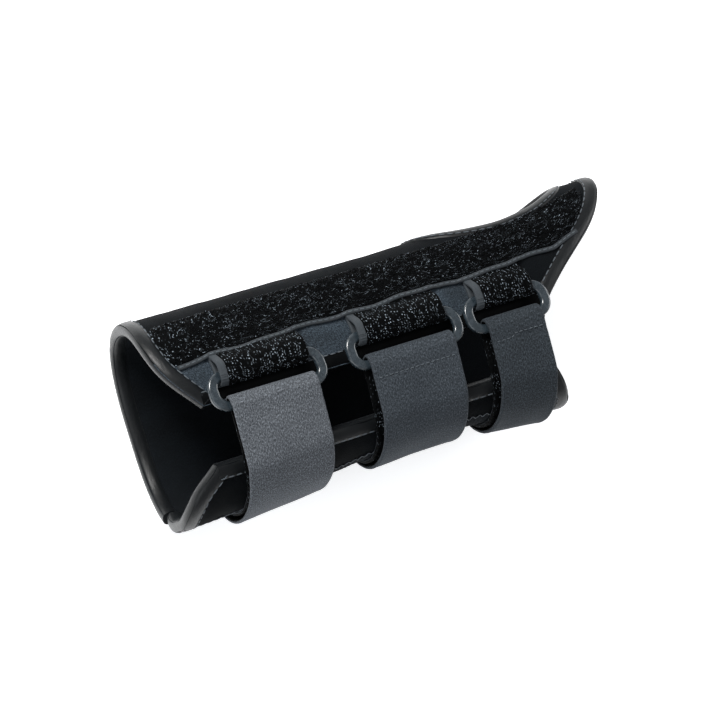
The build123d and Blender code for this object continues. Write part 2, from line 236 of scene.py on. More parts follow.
def sheet_piece(name, outer, inner, materials, keep=None):
    """Closed sheet between two grids of points; keep says which cells are there."""
    rows, columns = outer.shape[:2]
    count = rows * columns
    index = np.arange(count).reshape(rows, columns)
    if keep is None:
        keep = np.ones((rows - 1, columns - 1), dtype=bool)
    faces, slots = [], []
    inner_slot = len(materials) - 1
    for i in range(rows - 1):
        for j in range(columns - 1):
            if not keep[i, j]:
                continue
            a, b = int(index[i, j]), int(index[i + 1, j])
            c, d = int(index[i + 1, j + 1]), int(index[i, j + 1])
            faces.append((a, b, c, d))
            slots.append(0)
            faces.append((a + count, d + count, c + count, b + count))
            slots.append(inner_slot)
            sides = ((i - 1, j, d, a), (i + 1, j, b, c), (i, j - 1, a, b), (i, j + 1, c, d))
            for row, column, p, q in sides:
                in_grid = 0 <= row < rows - 1 and 0 <= column < columns - 1
                if not (in_grid and keep[row, column]):
                    faces.append((q, p, p + count, q + count))
                    slots.append(0)
    uv = np.stack([arc_lengths(outer, 0), arc_lengths(outer, 1)], axis=-1).reshape(-1, 2)
    points = np.concatenate([outer.reshape(-1, 3), inner.reshape(-1, 3)])
    piece = make_piece(name, points, faces, np.concatenate([uv, uv]), materials, slots)
    drop_loose(piece)
    return piece


def drop_loose(piece):
    """Removes vertices that no face uses, and turns every face outwards."""
    work = bmesh.new()
    work.from_mesh(piece.data)
    bmesh.ops.delete(work, geom=[v for v in work.verts if not v.link_faces], context="VERTS")
    bmesh.ops.recalc_face_normals(work, faces=work.faces)
    work.to_mesh(piece.data)
    work.free()


def tube_piece(name, path, side, up, profile, material, closed=False):
    """Sweep of a closed profile of (side, up) points along a path with its own axes."""
    count, around = len(path), len(profile)
    ring = np.array(profile)
    points = path[:, None] + side[:, None] * ring[None, :, :1] + up[:, None] * ring[None, :, 1:]
    faces = []
    for i in range(count if closed else count - 1):
        for j in range(around):
            a, b = i * around + j, i * around + (j + 1) % around
            c, d = (i + 1) % count * around + (j + 1) % around, (i + 1) % count * around + j
            faces.append((a, b, c, d))
    if not closed:
        faces.append(tuple(reversed(range(around))))
        faces.append(tuple((count - 1) * around + j for j in range(around)))
    lengths = arc_lengths(path, 0)
    turn = np.concatenate([[0], np.cumsum(np.linalg.norm(np.diff(ring, axis=0), axis=1))])
    uv = np.stack(np.meshgrid(lengths, turn, indexing="ij"), axis=-1)
    piece = make_piece(name, points, faces, uv, [material], crease=60)
    drop_loose(piece)
    return piece


def smooth_path(points, count):
    """Catmull-Rom curve through 2-D or 3-D points."""
    p = np.asarray(points, float)
    p = np.concatenate([[2 * p[0] - p[1]], p, [2 * p[-1] - p[-2]]])
    result = []
    for u in np.linspace(0, len(p) - 3 - 1e-9, count):
        i = int(u)
        t = u - i
        a, b, c, d = p[i:i + 4]
        result.append(0.5 * (2 * b + (c - a) * t + (2 * a - 5 * b + 4 * c - d) * t * t
                             + (3 * b - 3 * c + d - a) * t ** 3))
    return np.array(result)


def stitch_row(name, path, up, body, length=2.3, gap=0.9, radius=0.24, lift=0.12, swing=0.0):
    """Row of sewn stitches along a path, on a body; swing makes a zigzag."""
    lengths = arc_lengths(path, 0)
    count = int(lengths[-1] / (length + gap))
    vertices, faces, uvs = [], [], []
    shape = ((-0.5, 0.35), (-0.36, 0.9), (0.0, 1.0), (0.36, 0.9), (0.5, 0.35))  # place and width
    sides = 6

    def at(distance, rows):
        return np.array([np.interp(distance, lengths, rows[:, k]) for k in range(3)])

    for n in range(count):
        begin = n * (length + gap) + gap / 2
        ahead = unit(at(begin + length, path) - at(begin, path))
        normal = unit(at(begin + length / 2, up))
        across = np.cross(normal, ahead)
        shift = across * swing * (1 if n % 2 else -1)
        first = at(begin, path) - shift
        last = at(begin + length + (gap if swing else 0), path) + shift
        axis = unit(last - first)
        across = np.cross(normal, axis)
        base = len(vertices)
        for place, width in shape:
            middle = (first + last) / 2 + (last - first) * place + normal * lift
            for k in range(sides):
                turn = 2 * math.pi * k / sides
                offset = across * math.cos(turn) + normal * math.sin(turn) * 0.8
                vertices.append(middle + offset * radius * width)
                uvs.append((place * length, k * 0.25))
        for ring in range(len(shape) - 1):
            for k in range(sides):
                a = base + ring * sides + k
                b = base + ring * sides + (k + 1) % sides
                faces.append((a, b, b + sides, a + sides))
        faces.append(tuple(base + k for k in reversed(range(sides))))
        faces.append(tuple(base + (len(shape) - 1) * sides + k for k in range(sides)))
    row = make_piece(name, np.array(vertices), faces, uvs, [THREAD])
    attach(row, body)


# ---------------------------------------------------------------- camera and lights
VIEW_FROM_ARM = math.radians(20.0)      # the camera stands this far towards the forearm
VIEW_TILT = math.radians(3.0)           # and this far towards the little finger side
ARM_SLOPE = math.radians(17.1)          # the splint climbs this much towards the hand
VIEW_WIDTH = 276.923                    # width of the view at the splint
VIEW_SHIFT = (-1.2, 1.7)                # of the camera, to its right and up
VIEW_TARGET = (-10.0, 0.0, 30.0)
LENS, SENSOR = 120.0, 36.0


def make_camera():
    target = Vector(to_frame([VIEW_TARGET])[0])
    away = Vector((
        -math.sin(VIEW_FROM_ARM) * math.cos(VIEW_TILT),
        -math.sin(VIEW_TILT),
        math.cos(VIEW_FROM_ARM) * math.cos(VIEW_TILT),
    ))
    arm = Vector((1, 0, 0))
    flat = (arm - away * arm.dot(away)).normalized()
    right = Matrix.Rotation(-ARM_SLOPE, 3, away) @ flat
    up = away.cross(right)
    turn = Matrix((right, up, away)).transposed()
    data = bpy.data.cameras.new("camera")
    data.lens, data.sensor_width = LENS, SENSOR
    place = target + away * (VIEW_WIDTH * MM * LENS / SENSOR)
    place += right * (VIEW_SHIFT[0] * MM) + up * (VIEW_SHIFT[1] * MM)
    camera = bpy.data.objects.new("camera", data)
    camera.matrix_world = Matrix.Translation(place) @ turn.to_4x4()
    data.clip_start, data.clip_end = 0.05, 20
    bpy.context.scene.collection.objects.link(camera)
    bpy.context.scene.camera = camera


def area_light(name, place, size, power, colour=(1, 1, 1)):
    data = bpy.data.lights.new(name, "AREA")
    data.shape, data.size, data.energy, data.color = "SQUARE", size, power, colour
    light = bpy.data.objects.new(name, data)
    light.location = place
    light.rotation_euler = (-Vector(place)).to_track_quat("-Z", "Y").to_euler()
    bpy.context.scene.collection.objects.link(light)


make_camera()
area_light("key", (-0.3, 0.5, 0.62), 0.28, 9.5, (1.0, 0.99, 0.97))
area_light("fill", (-0.7, -0.35, 0.6), 0.7, 3.0, (0.95, 0.97, 1.0))
area_light("back", (0.8, 0.1, 0.45), 0.4, 3.0)

world = bpy.data.worlds.new("studio")
bpy.context.scene.world = world
world.use_nodes = True
sky = world.node_tree.nodes["Background"].inputs
sky["Color"].default_value = (0.93, 0.95, 0.98, 1)
sky["Strength"].default_value = 0.4


# ---------------------------------------------------------------- materials
class Shader:
    """Small helper round one Principled material; colours are linear."""

    def __init__(self, name, base, rough, sheen=0.0, sheen_tint=(1, 1, 1), specular=0.4, coat=0.0):
        self.material = bpy.data.materials.new(name)
        self.material.use_nodes = True
        self.material.diffuse_color = (*base, 1)
        self.nodes = self.material.node_tree.nodes
        self.links = self.material.node_tree.links
        self.body = self.nodes["Principled BSDF"]
        self.body.inputs["Base Color"].default_value = (*base, 1)
        self.body.inputs["Roughness"].default_value = rough
        self.body.inputs["Specular IOR Level"].default_value = specular
        self.body.inputs["Sheen Weight"].default_value = sheen
        self.body.inputs["Sheen Roughness"].default_value = 0.45
        self.body.inputs["Sheen Tint"].default_value = (*sheen_tint, 1)
        self.body.inputs["Coat Weight"].default_value = coat
        self.body.inputs["Coat Roughness"].default_value = 0.15

    def add(self, kind, **settings):
        node = self.nodes.new(kind)
        for key, value in settings.items():
            setattr(node, key, value)
        return node

    def link(self, source, target):
        self.links.new(source, target)

    def scaled(self, place, scale):
        mapping = self.add("ShaderNodeMapping")
        mapping.inputs["Scale"].default_value = scale
        self.link(place, mapping.inputs["Vector"])
        return mapping.outputs["Vector"]

    def cloth(self, along_x, across):
        """Millimetres on the cloth, scaled."""
        uv = self.add("ShaderNodeUVMap", uv_map="weave")
        return self.scaled(uv.outputs["UV"], (along_x, across, 1))

    def space(self, x, y, z):
        """Object space in millimetres, scaled."""
        place = self.add("ShaderNodeTexCoord")
        return self.scaled(place.outputs["Object"], [1000 * scale for scale in (x, y, z)])

    def noise(self, vector, scale=1.0, detail=3.0, rough=0.55):
        node = self.add("ShaderNodeTexNoise")
        node.inputs["Scale"].default_value = scale
        node.inputs["Detail"].default_value = detail
        node.inputs["Roughness"].default_value = rough
        self.link(vector, node.inputs["Vector"])
        return node.outputs["Fac"]

    def wave(self, vector, direction="X", scale=1.0, distortion=0.0):
        node = self.add("ShaderNodeTexWave", wave_type="BANDS", bands_direction=direction)
        node.inputs["Scale"].default_value = scale
        node.inputs["Distortion"].default_value = distortion
        node.inputs["Detail"].default_value = 1.0
        self.link(vector, node.inputs["Vector"])
        return node.outputs["Fac"]

    def ramp(self, value, stops):
        node = self.add("ShaderNodeValToRGB")
        elements = node.color_ramp.elements
        while len(elements) < len(stops):
            elements.new(0.5)
        for element, (place, colour) in zip(elements, stops):
            element.position = place
            element.color = (*colour, 1)
        self.link(value, node.inputs["Fac"])
        return node.outputs["Color"]

    def feed(self, socket, value):
        """Links a socket, or sets a colour or a number."""
        if isinstance(value, bpy.types.NodeSocket):
            self.link(value, socket)
        elif isinstance(value, tuple):
            socket.default_value = (*value, 1)
        else:
            socket.default_value = value

    def mix(self, kind, factor, a, b):
        node = self.add("ShaderNodeMix", data_type="RGBA", blend_type=kind)
        for number, value in ((0, factor), (6, a), (7, b)):     # the colour sockets of the node
            self.feed(node.inputs[number], value)
        return node.outputs[2]

    def math(self, operation, *values):
        node = self.add("ShaderNodeMath", operation=operation)
        for socket, value in zip(node.inputs, values):
            self.feed(socket, value)
        return node.outputs[0]

    def colour(self, socket):
        self.link(socket, self.body.inputs["Base Color"])

    def roughness(self, pattern, low, high):
        """Roughness from a pattern; low and high are its (place, roughness) ends."""
        stops = [(place, (rough,) * 3) for place, rough in (low, high)]
        self.link(self.ramp(pattern, stops), self.body.inputs["Roughness"])

    def bump(self, height, distance, strength=1.0):
        node = self.add("ShaderNodeBump")
        node.inputs["Strength"].default_value = strength
        node.inputs["Distance"].default_value = distance * MM
        self.link(height, node.inputs["Height"])
        self.link(node.outputs["Normal"], self.body.inputs["Normal"])


def grey(value, tint=(0.84, 1.0, 1.15)):
    """Linear colour of a cool grey."""
    return tuple(value * t for t in tint)


def knit_material(name, dark, light, sheen=0.0, rib=1.4, rough=0.8, pitch=1.6, painted_fold_shade=0.35):
    """Laminated knit: fine ribs with uneven fibres, and broad painted shade and highlights like light
    on soft folds.
    """
    s = Shader(name, grey(light), rough, sheen, (0.8, 0.88, 1.0), 0.04)
    fibres = s.noise(s.cloth(1.6, 0.9), pitch, 4.0, 0.65)
    # painted shade and highlights: broad blobs darken and lighten the cloth like light on soft folds
    blotch = s.noise(s.space(0.06, 0.06, 0.06), 1.0, 2.0)
    ribs = s.wave(s.cloth(rib, rib), "X", 1.0, 0.6)
    blend = s.math("MULTIPLY_ADD", fibres, 0.75, 0.12)
    middle = dark * 0.6 + light * 0.4
    tone = s.ramp(blend, [(0.36, grey(dark)), (0.52, grey(middle)), (0.68, grey(light))])
    # the painted fold shade and highlights are multiplied into the cloth's colour
    patches = s.ramp(blotch, [(0.36, grey(painted_fold_shade)), (0.64, grey(1.3))])
    s.colour(s.mix("MULTIPLY", painted_fold_shade, tone, patches))
    s.roughness(fibres, (0.2, rough - 0.1), (0.8, min(rough + 0.1, 1)))
    height = s.math("ADD", fibres, s.math("MULTIPLY", ribs, 0.6))
    s.bump(height, 0.12, 0.7)
    return s.material


def strap_material(name, painted_light_share, tint):
    """Heathered grey face of the straps; its light level paints the shade a strap lies in."""
    s = Shader(name, grey(0.085 * painted_light_share), 0.72, 0.04, (0.85, 0.92, 1.0), 0.08)
    fine = s.noise(s.cloth(1.9, 0.9), 1.2, 4.0, 0.75)
    salt = s.noise(s.cloth(2.6, 2.0), 1.0, 2.0, 0.6)
    blotch = s.noise(s.cloth(0.10, 0.10), 1.0, 3.0, 0.6)
    low, mid, high = (grey(v * painted_light_share, tint) for v in (0.02, 0.064, 0.165))
    tone = s.ramp(fine, [(0.34, low), (0.5, mid), (0.66, high)])
    grains = s.ramp(salt, [(0.36, (0.2, 0.2, 0.2)), (0.64, (0.8, 0.8, 0.8))])
    patches = s.ramp(blotch, [(0.3, (0.78, 0.78, 0.8)), (0.7, (1.15, 1.15, 1.15))])
    s.colour(s.mix("MULTIPLY", 0.5, s.mix("OVERLAY", 0.5, tone, grains), patches))
    s.roughness(fine, (0.3, 0.64), (0.7, 0.84))
    s.bump(s.math("ADD", fine, salt), 0.10, 0.6)
    return s.material


def pile_material(name, ribs, glint_strength):
    """Loop pile: black loops of yarn, with painted highlights for the bright glints of the loops."""
    s = Shader(name, grey(0.01), 0.6, 0.0, (0.8, 0.87, 1.0), 0.03)
    loops = s.add("ShaderNodeTexVoronoi", feature="F1")
    loops.inputs["Scale"].default_value = 1.0
    loops.inputs["Randomness"].default_value = 0.4 if ribs else 0.7
    s.link(s.cloth(0.95, 0.85), loops.inputs["Vector"])
    curls = s.noise(s.cloth(1.9, 1.5), 1.0, 5.0, 0.75)
    glint = s.ramp(loops.outputs["Color"], [(0.12, (0.3, 0.3, 0.3)), (0.6, (1, 1, 1))])
    near = s.ramp(loops.outputs["Distance"], [(0.10, (1, 1, 1)), (0.27, (0, 0, 0))])
    both = s.mix("MULTIPLY", 1.0, glint, near)
    strength = s.math("MULTIPLY", both, glint_strength)
    ground = s.ramp(curls, [(0.3, grey(0.0006)), (0.7, grey(0.003))])
    # painted highlights: the glints are mixed into the colour as light grey dots
    s.colour(s.mix("MIX", strength, ground, grey(0.6)))
    height = s.math("ADD", curls, s.math("MULTIPLY", both, 0.8))
    if ribs:
        height = s.math("ADD", height, s.wave(s.cloth(1, ribs), "Y", 1.0, 0.8))
    s.bump(height, 0.35, 0.9)
    return s.material


def tape_material(name, value, rough=0.36, sheen=0.02, gloss=0.24):
    """Smooth folded edge tape with a faint weave."""
    s = Shader(name, grey(value), rough, sheen, (0.85, 0.93, 1.0), gloss)
    weave = s.noise(s.cloth(0.8, 3.0), 1.6, 4.0, 0.6)
    creases = s.noise(s.cloth(0.22, 0.6), 1.0, 3.0, 0.6)
    s.colour(s.ramp(weave, [(0.3, grey(value * 0.7)), (0.7, grey(value * 1.35))]))
    s.roughness(weave, (0.3, rough - 0.08), (0.7, rough + 0.1))
    s.bump(s.math("ADD", s.math("MULTIPLY", weave, 0.35), creases), 0.25, 0.6)
    return s.material


def thread_material():
    s = Shader("thread", grey(0.02), 0.5, 0.0, (0.9, 0.95, 1.0), 0.3)
    twist = s.wave(s.cloth(2.2, 2.2), "DIAGONAL", 1.0, 0.3)
    s.colour(s.ramp(twist, [(0.2, grey(0.04)), (0.8, grey(0.13))]))
    s.bump(twist, 0.08, 0.6)
    return s.material


def ring_material():
    s = Shader("ring_slate", grey(0.018, (0.85, 1.0, 1.12)), 0.28, 0.0, (0.8, 0.95, 1), 0.5, 0.3)
    scuff = s.noise(s.space(0.5, 0.5, 0.5), 1.0, 4.0, 0.6)
    tint = (0.7, 1.0, 1.25)
    s.colour(s.ramp(scuff, [(0.3, grey(0.018, tint)), (0.7, grey(0.030, tint))]))
    s.roughness(scuff, (0.35, 0.2), (0.75, 0.38))
    s.bump(scuff, 0.05, 0.3)
    return s.material


def aluminium_material():
    s = Shader("stay_metal", (0.72, 0.73, 0.75), 0.35, 0.0, (1, 1, 1), 0.5)
    s.body.inputs["Metallic"].default_value = 1.0
    brushed = s.noise(s.space(0.03, 1.6, 1.6), 2.0, 4.0, 0.6)
    s.colour(s.ramp(brushed, [(0.3, (0.62, 0.63, 0.65)), (0.7, (0.8, 0.81, 0.83))]))
    s.roughness(brushed, (0.3, 0.28), (0.7, 0.48))
    s.bump(brushed, 0.03, 0.4)
    return s.material


def plastic_material(name, value, rough):
    s = Shader(name, grey(value), rough, 0.0, (1, 1, 1), 0.45)
    grain = s.noise(s.space(1.2, 1.2, 1.2), 1.0, 3.0, 0.6)
    s.colour(s.ramp(grain, [(0.3, grey(value * 0.85)), (0.7, grey(value * 1.15))]))
    s.bump(grain, 0.05, 0.4)
    return s.material


FABRIC = knit_material("body_knit", 0.0015, 0.010)
# heathered cloth, painted lighter for the highlights on the flap's rolled edge
HEATHER_AND_HIGHLIGHT = knit_material("body_knit_heather_and_highlight", 0.002, 0.12, pitch=1.5, painted_fold_shade=0.6)
GUSSET = knit_material("gusset_rib", 0.002, 0.020, rib=0.9)
LINING = knit_material("lining_brushed", 0.003, 0.011, sheen=0.05, rib=0.8, rough=0.95)
# straps 2 and 3 are the same grey cloth as strap 1, painted darker: painted shade
STRAPS = [
    strap_material("strap_grey_1", 1.1, (0.91, 1.0, 1.12)),
    strap_material("strap_grey_2", 0.52, (0.84, 1.0, 1.18)),
    strap_material("strap_grey_3", 0.38, (0.82, 1.0, 1.18)),
]
PILE = pile_material("loop_pile", ribs=0.0, glint_strength=1.0)
# the sewn runs get weaker painted highlights than the field
RUN_PILE = pile_material("run_pile", ribs=0.0, glint_strength=0.35)
TAB_PILE = pile_material("tab_pile", ribs=0.45, glint_strength=0.85)
TAPE = tape_material("binding_tape", 0.005)
# painted shade: the tape along the dorsal opening is painted darker and less glossy for the deep
# shade it lies in
SHADED_TAPE = tape_material("opening_tape_shaded", 0.002, rough=0.6, sheen=0.0, gloss=0.04)
WOVEN = tape_material("woven_tape", 0.028, 0.7)
SELVAGE = tape_material("tab_selvage", 0.034, 0.75)
THREAD = thread_material()
RING = ring_material()
METAL = aluminium_material()
SPRING = plastic_material("stay_strip", 0.45, 0.5)
HOOK = plastic_material("hook_strip", 0.012, 0.55)


def own_material(node, material):
    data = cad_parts[node].data
    data.materials.clear()
    data.materials.append(material)


for number in (1, 2, 3):
    own_material(f"ring_{number}", RING)
own_material("palmar_stay", METAL)
for node in ("dorsal_stay_radial", "dorsal_stay_ulnar"):
    own_material(node, SPRING)


# ---------------------------------------------------------------- fabric panels
# Plan lines of the panels' ends, as (x, y)
radial_start = bend_line(
    (-83, -4), (-85, 0), (-92, 8), (-97.5, 17), (-99.8, 27), (-100.2, 37), (-100.2, 60)
)
radial_end = bend_line(
    (57, -4), (60, 0), (70, 9.5), (81, 18), (92, 26), (100, 35), (105, 43), (107, 60)
)
ulnar_start = bend_line((-101, -60), (-101, -38), (-96, -29), (-87, -22), (-84, -18))
ulnar_end = bend_line((64.5, -60), (64.5, -39), (61, -29), (57, -21), (55, -17))
palm_start = bend_line((-101, -60), (-101, -38), (-100, 0), (-100.2, 38), (-100.2, 60))
palm_end = bend_line(
    (64.5, -60), (64.5, -40), (69, -26), (76, -8), (85, 10), (96, 28), (105, 43), (107, 60)
)

THUMB_Z = centre_z(THUMB_X) - THUMB_DROP
THUMB_MARGIN = 1.6                      # of the cloth round the thumb opening, under its tape
THUMB_SIDE_Y = 12.0


def in_thumb_opening(x, z, grow):
    """Whether a point of the thumb side is in the oval opening, grown all round."""
    level = ((x - THUMB_X) / (THUMB_HALF[0] + grow)) ** 2
    upright = ((z - THUMB_Z) / (THUMB_HALF[1] + grow)) ** 2
    return level + upright < 1


def cells_outside_thumb(points):
    """Cells of a grid that keep clear of the thumb opening."""
    inside = in_thumb_opening(points[..., 0], points[..., 2], THUMB_MARGIN)
    inside &= points[..., 1] > THUMB_SIDE_Y
    return ~(inside[:-1, :-1] | inside[1:, :-1] | inside[:-1, 1:] | inside[1:, 1:])


RIB_PITCH = 1.7
OPENING_Y = 0.6                         # edge of the radial flap at the dorsal opening
# area of the flap's rolled edge, heathered cloth painted lighter for its highlights
HEATHER_Y, HEATHER_X = 19.0, 54.0       # below the pile field, as far as the last tab


def fabric_panel(node, grid, lifts, materials, wrinkle, seed, thumb=False, rib=0.0):
    """One layer of the body on a grid of x and angle, with long and short wrinkles."""
    x, angle = grid
    normal = skin_normal(x, angle)
    base = skin(x, angle)
    across = arc_lengths(base, 1)
    folds = waves(x, across, 19.0, seed) * wrinkle
    folds = folds + waves(x, across, 7.0, seed + 1) * wrinkle * 0.35
    if rib:
        folds = folds + np.sin(x * 2 * math.pi / RIB_PITCH) * rib
    outer = base + normal * (lifts[0] + folds)[..., None]
    inner = base + normal * (lifts[1] + folds * 0.5)[..., None]
    keep = cells_outside_thumb(base) if thumb else None
    piece = sheet_piece(node + "_cloth", outer, inner, materials, keep)
    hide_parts(node)
    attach(piece, ROOT)
    return piece


def panel(node, grid, wrinkle, seed, thumb=False):
    return fabric_panel(node, grid, (WALL_OUT, PANEL_IN), [FABRIC, FABRIC], wrinkle, seed, thumb)


def lining(node, grid, seed, thumb=False):
    fabric_panel(node, grid, (LINING_OUT, LINING_IN), [LINING, LINING], 0.1, seed, thumb)


seam_ulnar, seam_thumb = angle_z(SEAM_Z, "ulnar"), angle_z(SEAM_Z, "thumb")
gusset_top, ulnar_edge = angle_z(GUSSET_TOP_Z, "ulnar"), angle_y(ULNAR_EDGE_Y - 0.6)
radial_grid = region(150, 90, radial_start, radial_end, angle_y(OPENING_Y), seam_thumb)
palm_grid = region(140, 110, palm_start, palm_end, seam_ulnar, angle_z(SEAM_Z, "palm_thumb"))
ulnar_grid = region(130, 24, ulnar_start, ulnar_end, ulnar_edge, gusset_top)
gusset_grid = region(430, 20, ulnar_start, ulnar_end, gusset_top, seam_ulnar)
ulnar_lining_grid = region(110, 40, ulnar_start, ulnar_end, ulnar_edge, seam_ulnar)

radial_cloth = panel("radial_flap", radial_grid, 0.13, 11, thumb=True).data
# the rolled edge below the pile field gets the heathered cloth, painted lighter for its highlights
radial_cloth.materials.append(HEATHER_AND_HIGHLIGHT)
for polygon in radial_cloth.polygons:
    spot = polygon.center / MM
    if polygon.material_index == 0 and spot.y < HEATHER_Y and spot.x < HEATHER_X:
        polygon.material_index = 2
lining("radial_lining", radial_grid, 11, thumb=True)
panel("palmar_panel", palm_grid, 0.12, 21, thumb=True)
lining("palmar_lining", palm_grid, 21, thumb=True)
panel("ulnar_flap", ulnar_grid, 0.3, 31)
lining("ulnar_lining", ulnar_lining_grid, 41)
fabric_panel("ulnar_gusset", gusset_grid, (0.1, PANEL_IN), [GUSSET, FABRIC], 0.15, 51, rib=0.16)


# ---------------------------------------------------------------- edge bindings
BIND_HALF_WIDTH, BIND_HALF_HEIGHT, BIND_OUT = 3.3, 2.65, 0.5
THUMB_BIND_HALF_WIDTH = 2.7
STITCH_INSET = 1.1


def rolled_profile(half_width, half_height, count=20, power=2.8):
    """Section of a tape folded over an edge: side is inwards from the edge."""
    ring = []
    for k in range(count):
        turn = 2 * math.pi * k / count
        c, s = math.cos(turn), math.sin(turn)
        side = half_width * math.copysign(abs(c) ** (2 / power), c)
        up = half_height * math.copysign(abs(s) ** (2 / power), s)
        if side > half_width * 0.55:
            up *= 0.9
        ring.append((side + half_width - BIND_OUT, up))
    return ring


def edge_frames(x, angle, inward):
    """Path, side and up axes for a tape along an edge of the wall."""
    normal = skin_normal(x, angle)
    path = skin(x, angle) + normal * (WALL_OUT + LINING_IN) / 2
    ahead = unit(np.gradient(path, axis=0))
    side = inward - normal * np.sum(inward * normal, -1, keepdims=True)
    side = side - ahead * np.sum(side * ahead, -1, keepdims=True)
    return path, unit(side), normal


def binding(name, edge, seed, closed=False, width=BIND_HALF_WIDTH, cover=TAPE):
    """Tape folded over an edge of the wall, given as x, angle and direction inwards."""
    path, side, up = edge_frames(*edge)
    wobble = waves(arc_lengths(path, 0), np.zeros(len(path)), 14.0, 60 + seed) * 0.12
    path = path + up * wobble[:, None]
    profile = rolled_profile(width, BIND_HALF_HEIGHT)
    piece = tube_piece(name + "_tape", path, side, up, profile, cover, closed)
    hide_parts(name + "_binding")
    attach(piece, ROOT)
    seam = path + side * (2 * width - BIND_OUT - STITCH_INSET) + up * (BIND_HALF_HEIGHT * 0.9)
    stitch_row(name + "_tape_stitches", seam, up, ROOT)


def edge_of(grid, which):
    """x, angle and the direction into the panel at its forearm, hand or opening edge."""
    x, angle = grid
    base = skin(x, angle)
    if which == "forearm":
        return x[0], angle[0], base[3] - base[0]
    if which == "hand":
        return x[-1], angle[-1], base[-4] - base[-1]
    return x[:, 0], angle[:, 0], base[:, 2] - base[:, 0]


def even_edge(grid, which, spacing=1.5):
    """An edge of a grid, evenly spaced."""
    x, angle, inward = edge_of(grid, which)
    lengths = arc_lengths(skin(x, angle), 0)
    at = np.linspace(0, lengths[-1], max(int(lengths[-1] / spacing), 8))
    side = np.stack([np.interp(at, lengths, inward[:, k]) for k in range(3)], -1)
    return np.interp(at, lengths, x), np.interp(at, lengths, angle), side


binding("radial_opening", even_edge(radial_grid, "opening"), 1, cover=SHADED_TAPE)
for number, (name, grid, which) in enumerate((
    ("radial_proximal", radial_grid, "forearm"),
    ("web", radial_grid, "hand"),
    ("ulnar_opening", ulnar_lining_grid, "opening"),
    ("ulnar_proximal", ulnar_lining_grid, "forearm"),
    ("ulnar_distal", ulnar_lining_grid, "hand"),
    ("palmar_proximal", palm_grid, "forearm"),
    ("palmar_distal", palm_grid, "hand"),
), start=2):
    binding(name, even_edge(grid, which), number)

thumb_turn = np.linspace(0, 2 * math.pi, 90, endpoint=False)
thumb_x = THUMB_X + THUMB_HALF[0] * np.cos(thumb_turn)
thumb_angle = angle_z(THUMB_Z + THUMB_HALF[1] * np.sin(thumb_turn), "thumb")(thumb_x)
thumb_points = skin(thumb_x, thumb_angle)
thumb_edge = (thumb_x, thumb_angle, thumb_points - thumb_points.mean(axis=0))
binding("thumb", thumb_edge, 9, closed=True, width=THUMB_BIND_HALF_WIDTH)


# ---------------------------------------------------------------- pile field and its edge tape
TAB_STEP = 1.5                          # rise of the field's edge over a tab


def field_low(x):
    """y of the field's lower edge, slightly wavy."""
    stations = (-95, -80, -40, 20, 50, 72, 88, 100)
    base = np.interp(x, stations, (15.5, 16.5, 18, 18.2, 18.8, 20.4, 25.5, 30.5))
    return base + 0.45 * np.sin(x / 7.5) + 0.25 * np.sin(x / 3.1 + 1)


def over_tabs(x):
    """1 where a ring tab passes under the field's edge, 0 between the tabs."""
    total = 0.0
    for first, last in STRAP_SPANS:
        total = total + ease((x - first + 3.5) / 4.0) * ease((last + 3.5 - x) / 4.0)
    return total


def field_high(x):
    """y of the field's upper edge."""
    return np.interp(x, (-100, -60, 30, 60, 80, 92), (33.8, 34.6, 34.8, 35.4, 38.5, 41.0))


def pile_field():
    """Loop pile sewn on the radial flap, with rounded ends and uneven tufts."""
    s, t = shares(480, 52)
    x = np.zeros_like(s)
    bow = 1 - np.sqrt(np.clip(1 - (2 * t - 1) ** 4, 0, 1))
    for _ in range(SETTLING_STEPS):
        low, high = field_low(x) + 0.5, field_high(x)
        y = low + (high - low) * t
        forearm_end = radial_start(y) + 5.2 + 3.0 * bow
        hand_end = radial_end(y) - 7.2 - 4.0 * bow
        x = forearm_end * (1 - s) + hand_end * s
    angle = y_angle(x, y)
    normal = skin_normal(x, angle)
    base = skin(x, angle)
    rim = np.minimum(np.minimum(s, 1 - s) * 180, np.minimum(t, 1 - t) * 18)
    body = ease(rim / 1.2)
    tufts = rng.uniform(0, 1, x.shape) ** 2 * 0.95 + rng.uniform(0, 1, x.shape) * 0.25
    shift = rng.uniform(-0.16, 0.16, x.shape)
    across = arc_lengths(base, 1)
    height = 0.35 + body * (0.75 + tufts * 0.8 + 0.22 * waves(x, across, 9, 71))
    height = height + 0.12 * waves(x, across, 3, 72)
    height = height + over_tabs(x) * TAB_STEP * np.exp(-across / 2.5)
    tangent = unit(np.gradient(base, axis=0))
    outer = base + normal * height[..., None] + tangent * (shift * body)[..., None]
    inner = base + normal * 0.05
    piece = sheet_piece("pile_field", outer, inner, [PILE, FABRIC])
    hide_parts("loop_field")
    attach(piece, ROOT)


def field_tape():
    """Woven tape along the field's lower edge."""
    x = np.linspace(-90.5, 84.0, 240)
    angle = y_angle(x, field_low(x) + 0.2)
    normal = skin_normal(x, angle)
    path = skin(x, angle) + normal * (0.75 + over_tabs(x) * TAB_STEP)[:, None]
    ahead = unit(np.gradient(path, axis=0))
    side = np.cross(normal, ahead)
    turns = np.linspace(0, 2 * math.pi, 14, endpoint=False)
    cosine, sine = np.cos(turns), np.sin(turns)
    ring = np.stack([
        0.95 * np.sign(cosine) * np.abs(cosine) ** 0.8, 0.72 * np.sign(sine) * np.abs(sine) ** 0.8
    ], -1)
    piece = tube_piece("field_tape", path, side, normal, ring, WOVEN)
    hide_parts("field_edge_tape")
    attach(piece, ROOT)
    stitch_row("field_tape_stitches", path + normal * 0.62, normal, ROOT, 1.7, 0.8, 0.2)


pile_field()
field_tape()


